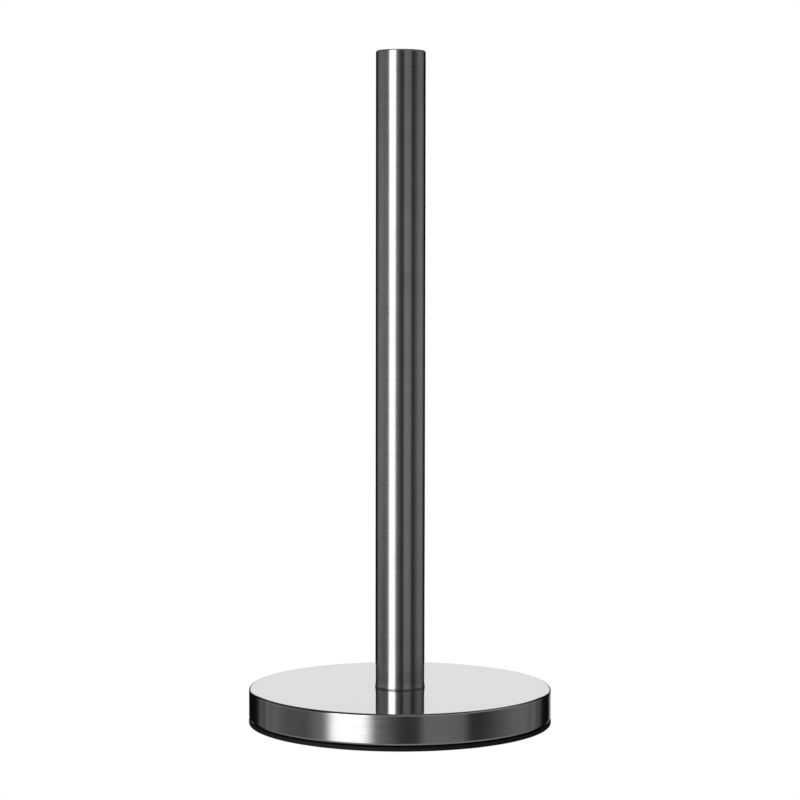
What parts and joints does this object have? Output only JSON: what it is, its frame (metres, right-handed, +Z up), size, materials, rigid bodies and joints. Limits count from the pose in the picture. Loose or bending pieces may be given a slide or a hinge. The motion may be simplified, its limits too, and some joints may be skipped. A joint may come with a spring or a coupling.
{
  "type": "paper towel holder",
  "caption": "Free-standing paper towel holder: brushed steel tube post that screws on to a round weighted base with a polished top and a rubber ring underneath.",
  "frame": {"origin": "centre of the underside, where the rubber ring rests on the table", "axes": "+Z up along the post; the base and post are round about Z, and +Y points at the first plate screw"},
  "size_m": [0.1534, 0.1534, 0.3398],
  "materials": {
    "polished_steel": "drawn stainless cup: mirror-polished top face, side band brushed round the base",
    "brushed_steel": "stainless tube, fine brushing round the post, satin",
    "cast_iron": "grey iron casting, dipped in thin black paint",
    "zinc_steel": "bright zinc plate on steel",
    "black_rubber": "moulded black rubber, matt"
  },
  "bodies": {
    "base": {"base_shell": "polished_steel", "ballast_disc": "cast_iron", "stud_bolt": "zinc_steel", "stud_spring_washer": "zinc_steel", "jam_washer": "zinc_steel", "jam_nut": "zinc_steel", "bottom_plate": "zinc_steel", "anti_slip_ring": "black_rubber", "plate_screw_1": "zinc_steel", "plate_screw_2": "zinc_steel", "plate_screw_3": "zinc_steel"},
    "washer": {"foot_washer": "brushed_steel"},
    "post": {"post_tube": "brushed_steel", "threaded_insert": "zinc_steel", "post_cap": "brushed_steel"}
  },
  "joints": [
    {"name": "post_lift", "type": "slide", "parent": "base", "child": "washer", "axis": [0, 0, 1], "range_m": [0, 0.00937]},
    {"name": "post_unscrew", "type": "hinge", "parent": "washer", "child": "post", "pos_m": [0, 0, 0], "axis": [0, 0, 1], "range_deg": [0, 2700]}
  ],
  "couplings": [
    {"joint": "post_unscrew", "follows": "post_lift", "rad_per_m": 5026.5}
  ]
}
